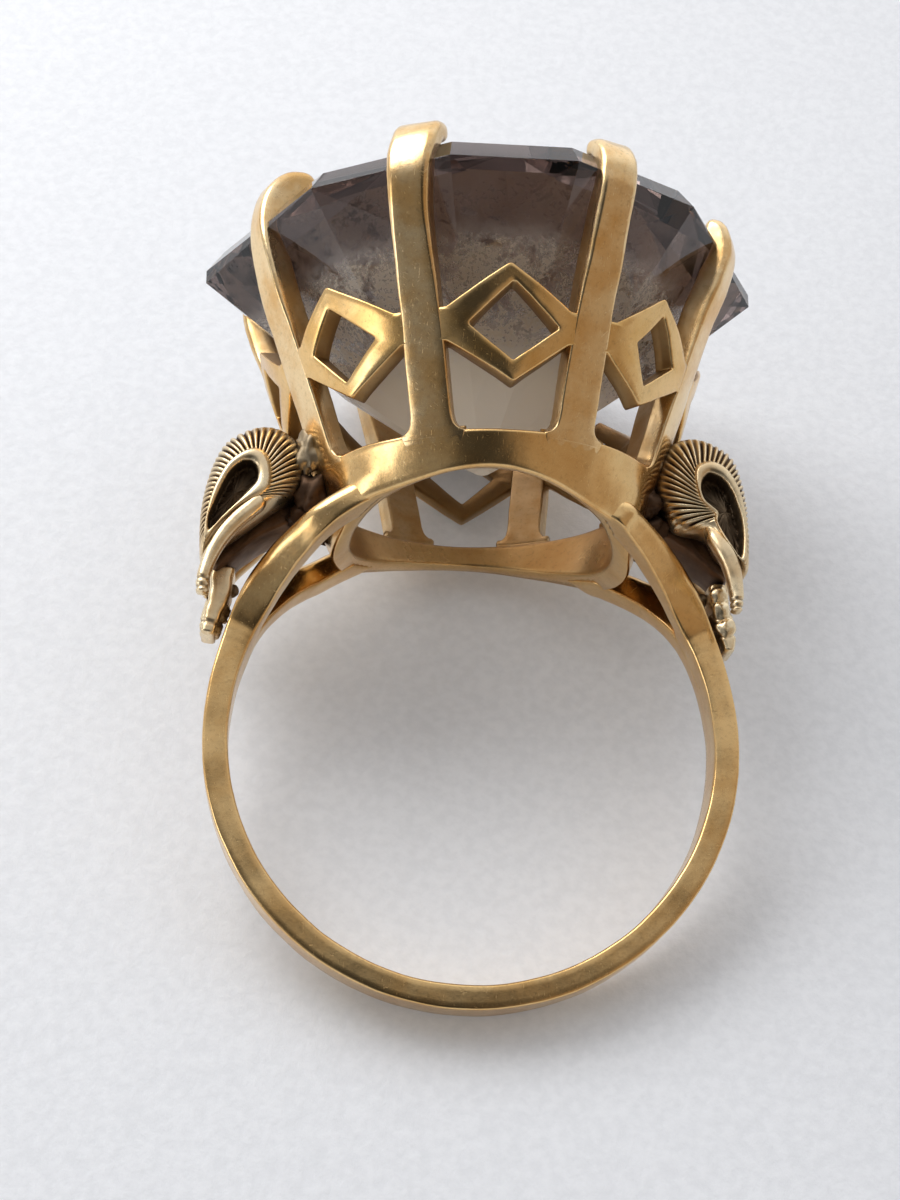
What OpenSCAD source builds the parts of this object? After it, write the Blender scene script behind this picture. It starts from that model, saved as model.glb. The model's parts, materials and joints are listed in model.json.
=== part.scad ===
// Cocktail ring with a large faceted stone in an open eight-claw basket setting.
// Millimetres. The origin is the centre of the finger hole, +Z points to the stone,
// and the finger goes through along Y.

/* [Hoop] */
// Diameter of the finger hole
finger_d = 17.2; // [16:0.1:19]
// Radial thickness of the hoop
hoop_thick = 0.85; // [0.7:0.05:1.2]
// Width of the hoop along the finger
hoop_w = 1.8; // [1.4:0.1:2.4]
// Angle above the X axis at which the hoop splits into two arms
split_angle = 27; // [20:1:34]
// Distance of each arm's middle from the centre plane, where it meets the collet
arm_spread = 3.4; // [2.8:0.1:3.8]
// Width of an arm where it meets the collet
arm_w = 1.35; // [1:0.05:1.6]

/* [Collet] */
// Height of the collet's top edge above the finger hole's centre
collet_z = 9.7; // [9.4:0.1:10]
// Outer radius of the collet at its top edge
collet_r = 6.6; // [6.3:0.1:6.9]
// Radius lost for each millimetre down the collet's cone
collet_taper = 0.4; // [0.3:0.02:0.46]
// Wall thickness of the collet
collet_wall = 0.85; // [0.6:0.05:1]
// Sideways offset of the hand-made head from the hoop's centre
head_shift = 0.5; // [0:0.1:0.6]
// Small turn of the head about its own axis
head_turn = 1.5; // [0:0.5:2]

/* [Claws] */
// Width of a claw
claw_w = 1.5; // [1.3:0.05:1.7]
// Thickness of a claw at its foot
claw_foot_thick = 0.85; // [0.6:0.05:1]
// Thickness of a claw where it holds the stone
claw_seat_thick = 1.05; // [0.9:0.05:1.2]
// Thickness of a claw at its tip
claw_tip_thick = 0.75; // [0.6:0.05:0.9]
// Extra reach of the four claws nearest the front and the back, where the stone is fuller
claw_reach = 0.4; // [0.3:0.05:0.5]

/* [Lozenges] */
// Height of a lozenge frame along its own slope
lozenge_h = 4.2; // [3.8:0.1:4.4]
// Width of a lozenge frame from corner to corner, before the claws cut it short
lozenge_w = 5.9; // [5.4:0.1:6.2]
// Height of the lozenge's window
window_h = 2.58; // [2.2:0.02:2.8]
// Width of the lozenge's window
window_w = 2.8; // [2.4:0.1:3.1]
// Thickness of the lozenge frame
lozenge_thick = 0.75; // [0.6:0.05:0.9]
// Height of the lozenge's centre
lozenge_z = 12.9; // [12.7:0.05:13.1]
// Distance of the lozenge's outer face from the head's axis, at its centre
lozenge_r = 7.68; // [7.6:0.02:7.8]
// Outward lean of the lozenge frame
lozenge_lean = 16.4; // [14:0.2:18]

/* [Stone] */
// Height of the girdle's upper edge
girdle_z = 18.15; // [18:0.05:18.4]
// Thickness of the girdle
girdle_thick = 0.55; // [0.4:0.05:0.6]
// Half of the stone's width, from its middle to the points at the sides
stone_half_w = 10.4; // [10.2:0.1:10.6]
// Height of the table above the girdle
crown_h = 1.85; // [1.6:0.05:2]
// Depth of the pavilion below the girdle
pavilion_h = 7.2; // [6.5:0.1:7.6]

/* [Shoulder ornaments] */
// Distance of a scroll's inner face from the centre plane
scroll_y = 1.15; // [1:0.05:1.3]
// Thickness of a scroll along the finger
scroll_thick = 1.7; // [1.4:0.1:1.9]
// Depth of the scroll's hollow
hollow_depth = 1.0; // [0.6:0.1:1.2]
// Width of the tail bar along the finger
tail_w = 1.5; // [1:0.1:2]

/* [Hidden] */

$fn = 96;
gold = [0.76, 0.60, 0.36];
dark_gold = [0.50, 0.37, 0.22];
smoky = [0.40, 0.34, 0.34, 0.8];

finger_r = finger_d / 2;
hoop_r = finger_r + hoop_thick;
hoop_edge = 0.12;            // chamfer on the hoop's four edges
claw_count = 8;
claw_step = 360 / claw_count;
curve_steps = 5;             // straight pieces between two points of a smooth curve
reach = 30;                  // longer than the whole ring, for cutting tools
arm_spread_z = 7.6;          // height at which an arm has its full spread
arm_end_z = 9.2;             // height of an arm's plan, above the collet's side

// Radius and height of points on a claw's outer face, from its foot to its tip
claw_face = [
    [collet_r, collet_z],
    [7.15, 11.2],
    [7.7, 12.7],
    [8.2, 14.1],
    [8.7, 15.4],
    [9.2, 16.6],
    [9.5, 17.8],
    [9.45, 18.9],
    [8.9, 19.8],
    [7.65, 20.25]
];

// Stone outline: angle from the front, and radius as a fraction of stone_half_w
stone_corners = [[13, 0.95], [45, 0.925], [90, 1], [135, 0.925], [167, 0.95]];
// Stone tiers: height from the girdle's upper edge, size, and whether the corners
// sit between the outline's corners, which makes triangular facets
stone_tiers = [
    [crown_h, 0.62, false],
    [0.85, 0.935, false],
    [0, 1, false],
    [-girdle_thick, 1, false],
    [-girdle_thick - 0.35 * pavilion_h, 0.70, true],
    [-girdle_thick - 0.72 * pavilion_h, 0.34, false],
    [-girdle_thick - pavilion_h, 0.03, false]
];

// Side outline of a scroll: distance from the hoop's centre, and height
scroll_outline = [
    [9.5, 4.8], [9.75, 6.3], [9.75, 8.0], [9.35, 9.6], [8.55, 10.6], [7.6, 10.9],
    [6.75, 10.4], [6.3, 9.4], [6.4, 8.3], [7.0, 7.75], [7.7, 7.6], [8.5, 6.7], [9.1, 5.4]
];
// Outline of the hollow in a scroll's face
hollow_outline = [
    [9.4, 6.6], [9.25, 8.3], [8.85, 9.2], [8.15, 9.6], [7.75, 9.2], [7.85, 8.6], [8.4, 8.0], [9.05, 7.3]
];
// Side outline of the plate between two scrolls
backplate_outline = [
    [8.6, 6.1], [9.3, 6.1], [9.4, 7.2], [9.0, 8.6], [8.1, 9.5],
    [6.6, 9.55], [5.0, 9.5], [5.0, 8.9], [6.3, 7.85], [7.5, 6.9]
];
// Side outline of the tail bar, which ends inside the hoop's outer surface
tail_outline = [
    [8.6, 6.1], [9.3, 6.1], [9.5, 5.1], [9.65, 3.7], [9.2, 3.3], [8.6, 3.5], [8.6, 3.9], [8.7, 4.8]
];

// Point at t on a smooth curve from b to c, with a before it and d after it
function spline(a, b, c, d, t) = 0.5 * (
    2 * b + (c - a) * t + (2 * a - 5 * b + 4 * c - d) * t * t + (3 * b - a - 3 * c + d) * t * t * t
);

// Smooth curve through the points p, from the first to the last
function open_curve(p) = concat(
    [for (i = [0:len(p) - 2]) for (s = [0:curve_steps - 1])
        spline(p[max(i - 1, 0)], p[i], p[i + 1], p[min(i + 2, len(p) - 1)], s / curve_steps)],
    [p[len(p) - 1]]
);

// Smooth closed curve through the points p
function closed_curve(p) = [
    for (i = [0:len(p) - 1]) for (s = [0:curve_steps - 1])
        spline(p[i], p[(i + 1) % len(p)], p[(i + 2) % len(p)], p[(i + 3) % len(p)], s / curve_steps)
];

// Outer face of a claw; claws 1, 4, 5 and 8 are the ones nearest the front and the back
function face_points(number) =
    let (extra = number % 4 < 2 ? claw_reach : 0)
    [for (p = claw_face) [p[0] + extra * min(1, max(0, (p[1] - lozenge_z) / (girdle_z - lozenge_z))), p[1]]];

// Direction across the curve c at its point i, towards the head's axis
function inward(c, i) =
    let (d = c[min(i + 1, len(c) - 1)] - c[max(i - 1, 0)])
    [-d[1], d[0]] / norm(d);

// Thickness of a claw at a fraction t of its length: foot, seat at 0.8, tip
function claw_thick(t) = t < 0.8
    ? claw_foot_thick + (claw_seat_thick - claw_foot_thick) * t / 0.8
    : claw_seat_thick + (claw_tip_thick - claw_seat_thick) * (t - 0.8) / 0.2;

// Points p on the left for a side of -1, and on the right for 1
function on_side(p, side) = [for (q = p) [side * q[0], q[1]]];

// Corner k of the stone's outline at size s, or the middle of the edge after it
function outline_corner(k, s) =
    let (n = len(stone_corners), right = k < n, c = stone_corners[right ? k : 2 * n - 1 - k])
    stone_half_w * s * c[1] * [(right ? 1 : -1) * sin(c[0]), -cos(c[0])];
function tier_point(k, tier) =
    let (n = 2 * len(stone_corners), here = outline_corner(k, tier[1]),
         next = outline_corner((k + 1) % n, tier[1]), flat = tier[2] ? (here + next) / 2 : here)
    [flat[0], flat[1], girdle_z + tier[0]];

// Moves its children from the head's own axis to the head's place on the ring
module on_head() {
    translate([head_shift, 0, 0]) rotate([0, 0, head_turn]) children();
}

// Flat plate in the XZ plane with the outline p, from y_low to y_high
module side_plate(p, y_low, y_high) {
    translate([0, y_high, 0]) rotate([90, 0, 0]) linear_extrude(y_high - y_low) polygon(p);
}

// The same, on the front for a face of -1 and on the back for 1
module paired_plate(p, y_near, y_far, face) {
    side_plate(p, face < 0 ? -y_far : y_near, face < 0 ? -y_near : y_far);
}

// Solid cylinder along the finger
module finger_cylinder(r) {
    rotate([90, 0, 0]) cylinder(r = r, h = reach, center = true);
}

// Solid cone inside the collet's outer surface
module collet_envelope() {
    on_head() cylinder(r1 = collet_r - collet_taper * collet_z, r2 = collet_r, h = collet_z);
}

module stone_body() {
    points = [for (tier = stone_tiers) for (k = [0:2 * len(stone_corners) - 1]) tier_point(k, tier)];
    on_head() hull() polyhedron(points, [[for (i = [0:len(points) - 1]) i]]);
}

module claw_bar(number) {
    face = open_curve(face_points(number));
    last = len(face) - 1;
    back = [for (i = [last:-1:0]) face[i] + inward(face, i) * claw_thick(i / last)];
    on_head() rotate([0, 0, (number - 0.5) * claw_step - 90])
        rotate([90, 0, 0]) linear_extrude(claw_w, center = true) intersection() {
            polygon(concat(face, back));
            translate([0, collet_z]) square(reach);
        }
}

module quartz_stone() {
    color(smoky) stone_body();
}

module collet_band() {
    low_r = collet_r - collet_taper * collet_z;
    color(gold) difference() {
        on_head() rotate_extrude() polygon([
            [low_r - collet_wall, 0], [low_r, 0], [collet_r, collet_z], [collet_r - collet_wall, collet_z]
        ]);
        finger_cylinder(finger_r);
    }
}

module claw(number) {
    color(gold) difference() {
        claw_bar(number);
        stone_body();
    }
}

module lozenge(number) {
    color(gold) difference() {
        on_head() rotate([0, 0, (number - 1) * claw_step]) translate([0, -lozenge_r, lozenge_z])
            rotate([90 + lozenge_lean, 0, 0]) translate([0, 0, -lozenge_thick]) linear_extrude(lozenge_thick)
                difference() {
                    lozenge_shape(lozenge_w, lozenge_h);
                    lozenge_shape(window_w, window_h);
                }
        claw_bar(number);
        claw_bar(number == 1 ? claw_count : number - 1);
    }
}

module lozenge_shape(width, height) {
    polygon([[width / 2, 0], [0, height / 2], [-width / 2, 0], [0, -height / 2]]);
}

// Whole ring of the hoop's section, before the head's side is opened
module hoop_ring(width) {
    half = width / 2;
    rotate([90, 0, 0]) rotate_extrude() polygon([
        [finger_r, -half + hoop_edge], [finger_r + hoop_edge, -half], [hoop_r - hoop_edge, -half],
        [hoop_r, -half + hoop_edge], [hoop_r, half - hoop_edge], [hoop_r - hoop_edge, half],
        [finger_r + hoop_edge, half], [finger_r, half - hoop_edge]
    ]);
}

// Wedge above the two split lines
module split_wedge() {
    side = reach * cos(split_angle);
    top = reach * sin(split_angle);
    side_plate([[0, 0], [side, top], [side, reach], [-side, reach], [-side, top]], -reach / 2, reach / 2);
}

module hoop() {
    color(gold) difference() {
        hoop_ring(hoop_w);
        split_wedge();
    }
}

// Arm of the split shoulder: side is -1 for left, face is -1 for front
module arm(side, face) {
    z_split = hoop_r * sin(split_angle);
    plan = [
        [0, 0], [hoop_w / 2, 0], [hoop_w / 2, z_split],
        [arm_spread + arm_w / 2, arm_spread_z], [arm_spread + arm_w / 2, arm_end_z],
        [arm_spread - arm_w / 2, arm_end_z], [arm_spread - arm_w / 2, arm_spread_z], [0, z_split]
    ];
    color(gold) difference() {
        intersection() {
            split_wedge();
            mirror([side < 0 ? 1 : 0, 0, 0]) mirror([0, face < 0 ? 1 : 0, 0])
                rotate([90, 0, 90]) linear_extrude(reach) polygon(plan);
            finger_cylinder(hoop_r);
        }
        finger_cylinder(finger_r);
        collet_envelope();
    }
}

// Curled leaf of a shoulder ornament
module scroll(side, face) {
    outline = closed_curve(on_side(scroll_outline, side));
    hollow = closed_curve(on_side(hollow_outline, side));
    y_face = scroll_y + scroll_thick;
    color(gold) difference() {
        paired_plate(outline, scroll_y, y_face, face);
        paired_plate(hollow, y_face - hollow_depth, y_face + hollow_depth, face);
        collet_envelope();
        claw_bar(side < 0 ? (face < 0 ? 7 : 6) : (face < 0 ? 2 : 3));
    }
}

module backplate(side) {
    color(dark_gold) difference() {
        side_plate(on_side(backplate_outline, side), -scroll_y, scroll_y);
        collet_envelope();
    }
}

module tail(side) {
    color(gold) difference() {
        side_plate(on_side(tail_outline, side), -tail_w / 2, tail_w / 2);
        finger_cylinder(hoop_r);
    }
}

quartz_stone();
collet_band();
hoop();
for (i = [1:claw_count]) claw(i);
for (i = [1:claw_count]) lozenge(i);
arm(-1, -1);  // arm_left_front
arm(-1, 1);  // arm_left_back
arm(1, -1);  // arm_right_front
arm(1, 1);  // arm_right_back
scroll(-1, -1);  // scroll_left_front
scroll(-1, 1);  // scroll_left_back
scroll(1, -1);  // scroll_right_front
scroll(1, 1);  // scroll_right_back
backplate(-1);  // backplate_left
backplate(1);  // backplate_right
tail(-1);  // tail_left
tail(1);  // tail_right
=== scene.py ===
import json
import math
import bmesh
import bpy
from mathutils import Matrix, Vector, noise

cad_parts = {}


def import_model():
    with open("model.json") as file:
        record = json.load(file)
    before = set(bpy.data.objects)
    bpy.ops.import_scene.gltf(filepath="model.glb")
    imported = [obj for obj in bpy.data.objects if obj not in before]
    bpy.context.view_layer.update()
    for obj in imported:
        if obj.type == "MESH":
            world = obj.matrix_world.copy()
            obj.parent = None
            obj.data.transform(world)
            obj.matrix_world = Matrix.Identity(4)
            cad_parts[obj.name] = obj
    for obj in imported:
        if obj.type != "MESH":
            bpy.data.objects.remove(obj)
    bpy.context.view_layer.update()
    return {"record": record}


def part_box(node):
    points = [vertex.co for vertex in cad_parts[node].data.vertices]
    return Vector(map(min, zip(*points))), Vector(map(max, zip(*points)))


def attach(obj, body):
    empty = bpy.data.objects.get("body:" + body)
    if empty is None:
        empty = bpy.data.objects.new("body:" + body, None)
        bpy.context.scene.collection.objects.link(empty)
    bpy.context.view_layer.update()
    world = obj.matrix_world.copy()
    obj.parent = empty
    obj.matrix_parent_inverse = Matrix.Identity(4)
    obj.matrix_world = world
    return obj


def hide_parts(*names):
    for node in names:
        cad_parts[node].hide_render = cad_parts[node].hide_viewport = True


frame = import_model()
# One fixed seed, as noise_vector otherwise takes its offsets from the clock
noise.seed_set(7)

# ---------------------------------------------------------------- sizes, in millimetres
MM = 0.001


def box_mm(node):
    """Lowest and highest corner of a CAD node."""
    low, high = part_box(node)
    return Vector(low) / MM, Vector(high) / MM


hoop_low, hoop_high = box_mm("hoop")
collet_low, collet_high = box_mm("collet_band")
stone_low, stone_high = box_mm("quartz_stone")

FINGER_R = frame["record"]["mounts"][0]["dims"]["r_mm"]
HOOP_R = -hoop_low.z
HOOP_THICK = HOOP_R - FINGER_R
HOOP_W = hoop_high.y - hoop_low.y
HOOP_EDGE = 0.11
SPLIT_ANGLE = math.asin(hoop_high.z / HOOP_R)
COLLET_Z = collet_high.z
COLLET_R = (collet_high.x - collet_low.x) / 2
COLLET_TAPER = 0.4
COLLET_WALL = 0.85
HEAD_X = (collet_high.x + collet_low.x) / 2
HEAD_TURN = math.radians(1.5)
TABLE_Z = stone_high.z
CULET_Z = stone_low.z
STONE_HALF = (stone_high.x - stone_low.x) / 2
GIRDLE_Z = TABLE_Z - 1.85
GIRDLE_THICK = 0.02
BLUNT_CORNER = 0.5
# How far an arm's end lies from the ring's middle plane, and its width there
ARM_SPREAD = 3.4
ARM_W = 1.35
# How far a scroll's face lies from the ring's middle plane
SCROLL_FAR = 2.85

CLAW_COUNT = 8
CLAW_STEP = math.tau / CLAW_COUNT
# Outer face of a claw above the collet: (distance from the head's axis, height)
CLAW_FACE = [
    (7.15, 11.2), (7.7, 12.7), (8.2, 14.1), (8.7, 15.4),
    (9.2, 16.6), (9.5, 17.8), (9.45, 18.9), (8.9, 19.8), (7.65, 20.25),
]
CLAW_REACH = 0.4
CLAW_SLOPE = 0.36
LOZENGE_Z = 12.9
LOZENGE_R = 7.775
LOZENGE_LEAN = math.radians(16.4)
LOZENGE_THICK = 0.75


# ---------------------------------------------------------------- curves and shapes
def between(a, b, t):
    return a + (b - a) * t


def smooth(t):
    """0 below 0, 1 above 1, and an even rise between."""
    t = min(1.0, max(0.0, t))
    return t * t * (3 - 2 * t)


def catmull(a, b, c, d, t):
    """Value at t between b and c on the smooth curve through all four."""
    square = (2 * a - 5 * b + 4 * c - d) * t * t
    cube = (3 * b - a - 3 * c + d) * t ** 3
    return 0.5 * (2 * b + (c - a) * t + square + cube)


def open_curve(points, steps):
    """Smooth curve through tuples of numbers, from the first to the last."""
    last = len(points) - 1
    curve = []
    for i in range(last):
        a, b, c, d = points[max(i - 1, 0)], points[i], points[i + 1], points[min(i + 2, last)]
        for s in range(steps):
            curve.append(tuple(catmull(*q, s / steps) for q in zip(a, b, c, d)))
    return curve + [tuple(points[last])]


def closed_curve(points, steps):
    """Smooth closed curve through tuples of numbers, starting at the first."""
    n = len(points)
    curve = []
    for i in range(n):
        a, b, c, d = points[i - 1], points[i], points[(i + 1) % n], points[(i + 2) % n]
        for s in range(steps):
            curve.append(tuple(catmull(*q, s / steps) for q in zip(a, b, c, d)))
    return curve


def table_value(table, t):
    """Value at t in a table of (t, value) rows, eased from row to row."""
    for (t0, v0), (t1, v1) in zip(table, table[1:]):
        if t <= t1:
            return between(v0, v1, smooth((t - t0) / (t1 - t0)))
    return table[-1][1]


def rounded_section(half_width, half_depth, outer_radius, inner_radius=None):
    """Points of a rectangle with rounded corners; the inner ones can have their own radius."""
    arc_steps, edge_steps = 4, 4
    corners = []
    for k, (u, v) in enumerate(((1, 1), (-1, 1), (-1, -1), (1, -1))):
        radius = outer_radius if v > 0 or inner_radius is None else inner_radius
        radius = min(radius, 0.98 * half_width, 0.98 * half_depth)
        cx, cy = u * (half_width - radius), v * (half_depth - radius)
        arc = []
        for i in range(arc_steps + 1):
            a = math.pi / 2 * (k + i / arc_steps)
            arc.append((cx + radius * math.cos(a), cy + radius * math.sin(a)))
        corners.append(arc)
    points = []
    for k, arc in enumerate(corners):
        points += arc
        (x0, y0), (x1, y1) = arc[-1], corners[(k + 1) % 4][0]
        for i in range(1, edge_steps):
            points.append((between(x0, x1, i / edge_steps), between(y0, y1, i / edge_steps)))
    return points


def heading(curve, i):
    """Unit direction of a flat curve at its point i."""
    (x0, z0), (x1, z1) = curve[max(i - 1, 0)][:2], curve[min(i + 1, len(curve) - 1)][:2]
    length = math.hypot(x1 - x0, z1 - z0)
    return (x1 - x0) / length, (z1 - z0) / length


def closing(t):
    """Share of a bar's section near its end: all of it at t = 0, and least at t = 1."""
    return math.sqrt(max(0.05, 1 - smooth(t) ** 2))


def worn(p, amount=0.022, size=1.3):
    """The point moved a little, as hand filing and wear leave a surface."""
    return p + noise.noise_vector(p / size) * amount + noise.noise_vector(p / size * 3.7) * amount * 0.3


class Shape:
    """Vertices in millimetres, faces, and how deep in a recess each vertex lies, 0 to 1; the gold paints it
    darker as painted shade with soiling.
    """

    def __init__(self):
        self.verts = []
        self.faces = []
        self.recess = []

    def add(self, rings, faces, recess=None):
        """Rings of points, and faces that number these points from 0."""
        start = len(self.verts)
        for ring in rings:
            self.verts += ring
        self.faces += [[i + start for i in f] for f in faces]
        for marks in recess or [[0.0] * len(ring) for ring in rings]:
            self.recess += marks

    def loft(self, rings, closed=False, recess=None):
        """Skin over closed sections; unless they stand round a loop, it gets end caps."""
        n, m = len(rings), len(rings[0])
        faces = []
        for i in range(n if closed else n - 1):
            a, b = i * m, ((i + 1) % n) * m
            for k in range(m):
                k2 = (k + 1) % m
                faces.append([a + k, a + k2, b + k2, b + k])
        if not closed:
            faces.append(list(range(m - 1, -1, -1)))
            faces.append([(n - 1) * m + k for k in range(m)])
        self.add(rings, faces, recess)

    def wrap(self, rings, recess=None):
        """Skin over open sections round a loop, with a cap over all their first and all their last points."""
        n, m = len(rings), len(rings[0])
        faces = []
        for i in range(n):
            a, b = i * m, ((i + 1) % n) * m
            faces += [[a + k, a + k + 1, b + k + 1, b + k] for k in range(m - 1)]
        faces.append([i * m for i in range(n)])
        faces.append([i * m + m - 1 for i in reversed(range(n))])
        self.add(rings, faces, recess)

    def lump(self, centre, radii, rough, recess=0.0):
        """Rounded lump with an uneven surface, as a ball of solder is."""
        rings, sides = 18, 28
        loops = []
        for i in range(rings + 1):
            a = math.pi * (i + 0.02) / (rings + 0.04) - math.pi / 2
            loop = []
            for k in range(sides):
                b = math.tau * k / sides
                d = Vector((math.cos(a) * math.cos(b), math.cos(a) * math.sin(b), math.sin(a)))
                p = centre + d * Vector(radii)
                loop.append(p + d * (noise.noise(p * 2.6) + 0.6 * noise.noise(p * 6.5)) * rough)
            loops.append(loop)
        self.loft(loops, recess=[[recess] * sides for _ in loops])

    def piece(self, name, material, nodes):
        """The Blender object that stands for the CAD nodes."""
        mesh = bpy.data.meshes.new(name)
        mesh.from_pydata([v * MM for v in self.verts], [], self.faces)
        mesh.validate()
        bm = bmesh.new()
        bm.from_mesh(mesh)
        bmesh.ops.recalc_face_normals(bm, faces=bm.faces)
        bm.to_mesh(mesh)
        bm.free()
        mesh.polygons.foreach_set("use_smooth", [True] * len(mesh.polygons))
        mesh.attributes.new("recess", "FLOAT", "POINT").data.foreach_set("value", self.recess)
        mesh.materials.append(material)
        obj = bpy.data.objects.new(name, mesh)
        bpy.context.scene.collection.objects.link(obj)
        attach(obj, "root")
        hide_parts(*nodes)


def bar(shape, centres, sides, outs, widths, depths, radii, recess=None, inner_radius=None):
    """Bar with rounded edges along a path; sides and outs are the section's axes at each point."""
    rings = []
    for c, side, out, w, d, radius in zip(centres, sides, outs, widths, depths, radii):
        section = rounded_section(w / 2, d / 2, radius, inner_radius)
        rings.append([worn(c + side * a + out * b) for a, b in section])
    marks = [[r] * len(rings[0]) for r in recess] if recess else None
    shape.loft(rings, recess=marks)


def head_point(azimuth, r, z):
    """Point of the head; azimuth 0 is the front and turns towards +X."""
    a = azimuth + HEAD_TURN
    return Vector((HEAD_X + r * math.sin(a), -r * math.cos(a), z))


# ---------------------------------------------------------------- materials
class Nodes:
    """Short ways to add and link the shader nodes of a material or a world."""

    def __init__(self, owner, coordinates):
        owner.use_nodes = True
        self.owner = owner
        self.nodes, self.links = owner.node_tree.nodes, owner.node_tree.links
        self.nodes.clear()
        self.place = self.nodes.new("ShaderNodeTexCoord").outputs[coordinates]

    def put(self, socket, value):
        if isinstance(value, bpy.types.NodeSocket):
            self.links.new(value, socket)
        else:
            socket.default_value = value

    def add(self, kind, **values):
        """Node whose inputs have those values or links; an underscore stands for a space in a name."""
        node = self.nodes.new(kind)
        for name, value in values.items():
            self.put(node.inputs[name.replace("_", " ")], value)
        return node

    def stretched(self, scale, turn):
        rotation = [math.radians(a) for a in turn]
        return self.add("ShaderNodeMapping", Vector=self.place, Scale=scale, Rotation=rotation).outputs[0]

    def noise(self, scale, detail, rough=0.55, distort=0.0, place=None):
        node = self.add(
            "ShaderNodeTexNoise", Vector=place or self.place,
            Scale=scale, Detail=detail, Roughness=rough, Distortion=distort,
        )
        return node.outputs["Fac"]

    def cells(self, scale):
        return self.add("ShaderNodeTexVoronoi", Vector=self.place, Scale=scale).outputs["Distance"]

    def ramp(self, value, low, high, to_low=0.0, to_high=1.0):
        node = self.add(
            "ShaderNodeMapRange", Value=value, From_Min=low, From_Max=high, To_Min=to_low, To_Max=to_high,
        )
        node.interpolation_type = "SMOOTHSTEP"
        return node.outputs["Result"]

    def math(self, operation, a, b=0.0, clamp=False):
        node = self.nodes.new("ShaderNodeMath")
        node.operation = operation
        node.use_clamp = clamp
        self.put(node.inputs[0], a)
        self.put(node.inputs[1], b)
        return node.outputs[0]

    def multiply_add(self, a, b, c):
        result = self.math("MULTIPLY_ADD", a, b)
        self.put(result.node.inputs[2], c)
        return result

    def mix(self, factor, a, b):
        node = self.nodes.new("ShaderNodeMix")
        node.data_type = "RGBA"
        self.put(node.inputs["Factor"], factor)
        self.put(node.inputs[6], a if isinstance(a, bpy.types.NodeSocket) else (*a, 1))
        self.put(node.inputs[7], b if isinstance(b, bpy.types.NodeSocket) else (*b, 1))
        return node.outputs[2]

    def attribute(self, name):
        node = self.nodes.new("ShaderNodeAttribute")
        node.attribute_name = name
        return node.outputs["Fac"]

    def crevice(self, distance):
        node = self.add("ShaderNodeAmbientOcclusion", Distance=distance * MM)
        node.samples = 6
        return node.outputs["AO"]

    def bump(self, height, strength, distance):
        return self.add("ShaderNodeBump", Height=height, Strength=strength, Distance=distance * MM).outputs[0]

    def along(self, axis):
        return self.add("ShaderNodeSeparateXYZ", Vector=self.place).outputs[axis]

    def show(self, shader, output_kind="ShaderNodeOutputMaterial"):
        return self.add(output_kind, Surface=shader.outputs[0])


def material_nodes(name):
    """Nodes of a new material, whose patterns lie in millimetres on the ring."""
    n = Nodes(bpy.data.materials.new(name), "Object")
    scale = n.nodes.new("ShaderNodeVectorMath")
    scale.operation = "SCALE"
    n.put(scale.inputs[0], n.place)
    n.put(scale.inputs["Scale"], 1 / MM)
    n.place = scale.outputs[0]
    return n


def gold(name, light, deep, dirt_and_shade, crevice_shade_amount, roughness, wear=1.0):
    """Old worked gold: two tones, fine scratches, pits, dark specks, and brown soiling with painted shade in
    every recess and crevice.
    """
    n = material_nodes(name)
    patches = n.noise(0.55, 5, 0.6)
    fine = n.noise(7.0, 5, 0.65)
    scratch_a = n.noise(2.2, 3, 0.6, place=n.stretched((14, 1.0, 1.2), (0, 12, 28)))
    scratch_b = n.noise(2.4, 3, 0.6, place=n.stretched((1.1, 12, 1.4), (20, 55, -14)))
    scratches = n.math("MAXIMUM", n.ramp(scratch_a, 0.66, 0.72), n.ramp(scratch_b, 0.66, 0.72))
    pits = n.math("MULTIPLY", n.ramp(n.cells(5.5), 0.10, 0.02), n.ramp(n.noise(1.3, 2), 0.52, 0.62))

    # Painted shade: crevices that the occlusion node finds, broken up by noise, turn towards the brown colour
    crevice = n.ramp(n.crevice(0.55), 0.78, 0.25)
    crevice_shade_and_soil = n.math("MULTIPLY", crevice, n.ramp(fine, 0.25, 0.6, 0.55, 1.0))
    recess = n.math("MAXIMUM", n.attribute("recess"), n.math("MULTIPLY", crevice_shade_and_soil, crevice_shade_amount))
    recess = n.math("MAXIMUM", recess, n.math("MULTIPLY", pits, 0.6), clamp=True)

    tone = n.mix(n.ramp(patches, 0.35, 0.68), light, deep)
    tone = n.mix(n.math("MULTIPLY", n.ramp(fine, 0.5, 0.75), 0.25), tone, dirt_and_shade)
    # Recessed vertices and crevices take the brown colour: soiling with painted shade
    colour = n.mix(recess, tone, dirt_and_shade)

    patchy = 0.18
    shine = n.multiply_add(patches, patchy, roughness - patchy / 2)
    shine = n.math("ADD", shine, n.math("MULTIPLY", recess, 0.35))
    shine = n.math("ADD", shine, n.math("MULTIPLY", scratches, 0.10), clamp=True)

    relief = n.multiply_add(fine, 0.5, n.math("MULTIPLY", patches, 1.6))
    relief = n.math("SUBTRACT", relief, n.math("MULTIPLY", scratches, 0.30))
    relief = n.math("SUBTRACT", relief, n.math("MULTIPLY", pits, 0.9))
    uneven = n.bump(relief, 0.3 * wear, 0.014)
    n.show(n.add(
        "ShaderNodeBsdfPrincipled", Base_Color=colour, Metallic=1.0, Roughness=shine, Normal=uneven,
    ))
    return n.owner


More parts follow.
